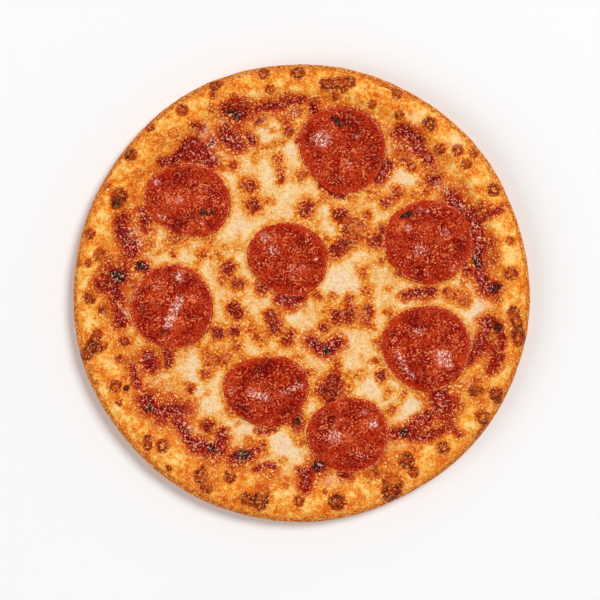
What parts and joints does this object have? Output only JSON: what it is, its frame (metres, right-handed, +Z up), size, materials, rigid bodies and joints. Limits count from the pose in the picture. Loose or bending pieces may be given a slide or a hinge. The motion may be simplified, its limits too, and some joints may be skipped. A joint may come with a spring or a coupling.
{
  "type": "pepperoni pizza",
  "caption": "Whole round baked pizza: a dough base with a raised browned rim, tomato sauce, melted blistered cheese and pepperoni slices. Lies flat on its base.",
  "frame": {"origin": "middle of the flat base, on the surface that the pizza lies on", "axes": "+Z up, through the pizza from its base to its toppings; +Y to the far side of the pizza as the picture shows it from above, +X to its right"},
  "size_m": [0.2497, 0.2503, 0.0175],
  "materials": {
    "baked_dough": "matt, grainy baked dough, golden brown",
    "tomato_sauce": "moist, dark where it baked dry",
    "melted_cheese": "soft sheen, cream with browned blisters",
    "pepperoni": "oily sheen over a fine meat grain"
  },
  "bodies": {
    "root": {"crust": "baked_dough", "sauce": "tomato_sauce", "cheese": "melted_cheese", "pepperoni_1": "pepperoni", "pepperoni_2": "pepperoni", "pepperoni_3": "pepperoni", "pepperoni_4": "pepperoni", "pepperoni_5": "pepperoni", "pepperoni_6": "pepperoni", "pepperoni_7": "pepperoni", "pepperoni_8": "pepperoni"}
  },
  "joints": []
}
